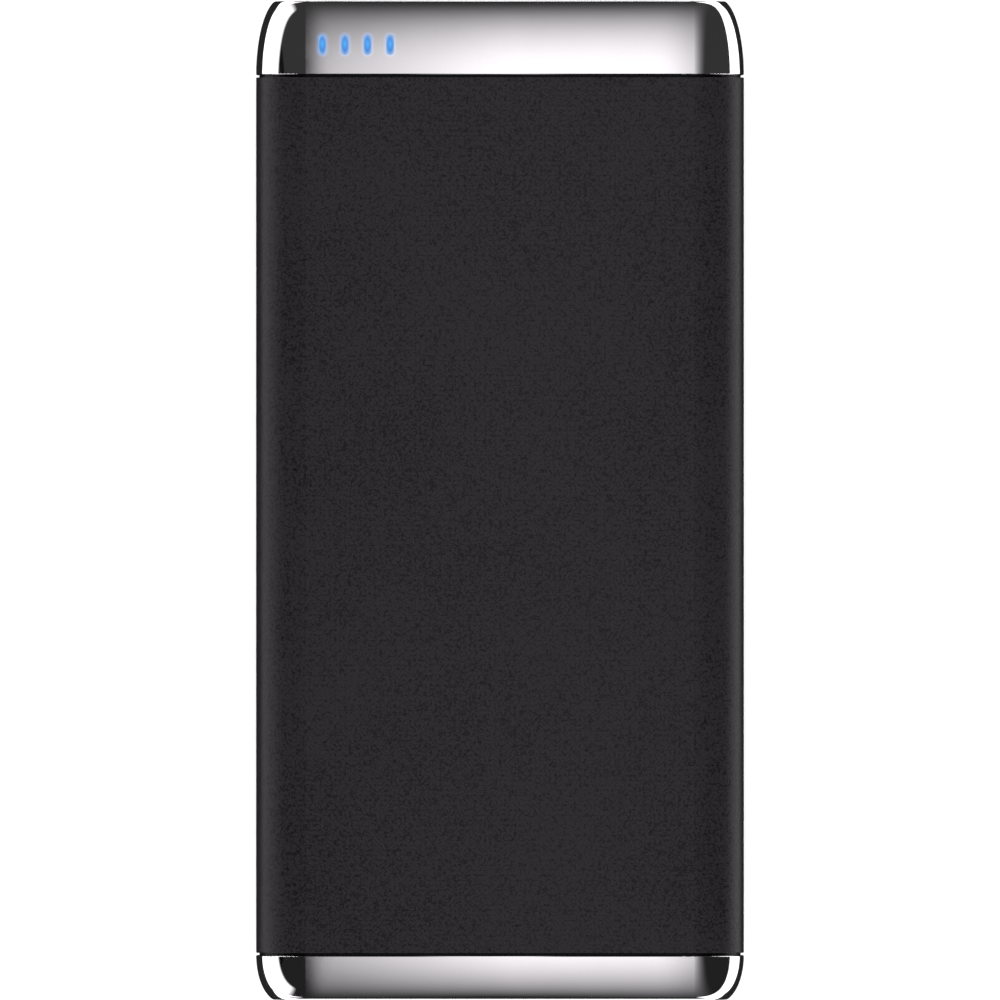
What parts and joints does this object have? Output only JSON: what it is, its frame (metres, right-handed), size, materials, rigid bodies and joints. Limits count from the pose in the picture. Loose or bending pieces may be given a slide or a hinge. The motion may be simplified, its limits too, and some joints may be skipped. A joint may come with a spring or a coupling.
{
  "type": "power bank",
  "caption": "Slim pocket power bank: grained black half shells between two crowned chrome end caps, with status lights, charging sockets and a push button on the top end",
  "frame": {"origin": "under the middle of the body, on the surface that its back rests on", "axes": "+X across the width, +Y along the length towards the sockets and lights, +Z out of the front face"},
  "size_m": [0.0732, 0.15, 0.015],
  "materials": {
    "black_shell": "soft matt black ABS with a fine moulded grain",
    "chrome_cap": "bright chrome plating over ABS",
    "chrome_button": "satin chrome plating over ABS",
    "clear_pipe": "clear acrylic, lit blue from below",
    "board_green": "glass-epoxy board under green solder mask",
    "socket_steel": "nickel-plated folded steel",
    "tongue_white": "white moulded nylon",
    "tongue_black": "black moulded nylon",
    "contact_gold": "gold-plated contacts",
    "plunger_red": "moulded nylon",
    "spring_steel": "stainless spring leaf",
    "led_white": "blue light-emitting diodes in clear resin",
    "chip_black": "black moulded epoxy",
    "ferrite": "dark ferrite",
    "capacitor_tan": "tan ceramic with tinned ends",
    "resistor_black": "black-topped ceramic with tinned ends",
    "pouch_foil": "silver aluminium-laminate pouch",
    "tape_white": "white double-sided tape",
    "foam_black": "dark closed-cell foam",
    "fish_paper": "grey-green insulating paper",
    "nickel_strip": "plain nickel strip",
    "lead_red": "red silicone-insulated wire",
    "lead_black": "black silicone-insulated wire",
    "screw_black": "black-zinc steel"
  },
  "bodies": {
    "housing": {"front_shell": "black_shell", "back_shell": "black_shell", "top_cap": "chrome_cap", "bottom_cap": "chrome_cap", "light_pipe": "clear_pipe", "main_board": "board_green", "usb_a_shell_1": "socket_steel", "usb_a_shell_2": "socket_steel", "micro_usb_shell": "socket_steel", "usb_a_tongue_1": "tongue_white", "usb_a_tongue_2": "tongue_white", "micro_usb_tongue": "tongue_black", "switch_body": "tongue_black", "usb_a_contacts_1": "contact_gold", "usb_a_contacts_2": "contact_gold", "micro_usb_contacts": "contact_gold", "switch_dome": "spring_steel", "status_led_1": "led_white", "status_led_2": "led_white", "status_led_3": "led_white", "status_led_4": "led_white", "charger_chip": "chip_black", "boost_chip": "chip_black", "power_inductor": "ferrite", "capacitors": "capacitor_tan", "resistors": "resistor_black", "front_cell": "pouch_foil", "back_cell": "pouch_foil", "cell_tape": "tape_white", "front_foam_pad": "foam_black", "back_foam_pad": "foam_black", "end_insulator": "fish_paper", "positive_strip": "nickel_strip", "negative_strip": "nickel_strip", "positive_lead": "lead_red", "negative_lead": "lead_black", "top_shell_screws": "screw_black", "bottom_shell_screws": "screw_black", "board_screws": "screw_black"},
    "button": {"power_button": "chrome_button", "switch_plunger": "plunger_red"}
  },
  "joints": [
    {"name": "button_press", "type": "slide", "parent": "housing", "child": "button", "axis": [0, -1, 0], "range_m": [0, 0.00025], "stiffness_N_per_m": 2500, "springref_m": -0.0001, "deforming": ["switch_dome"]}
  ]
}
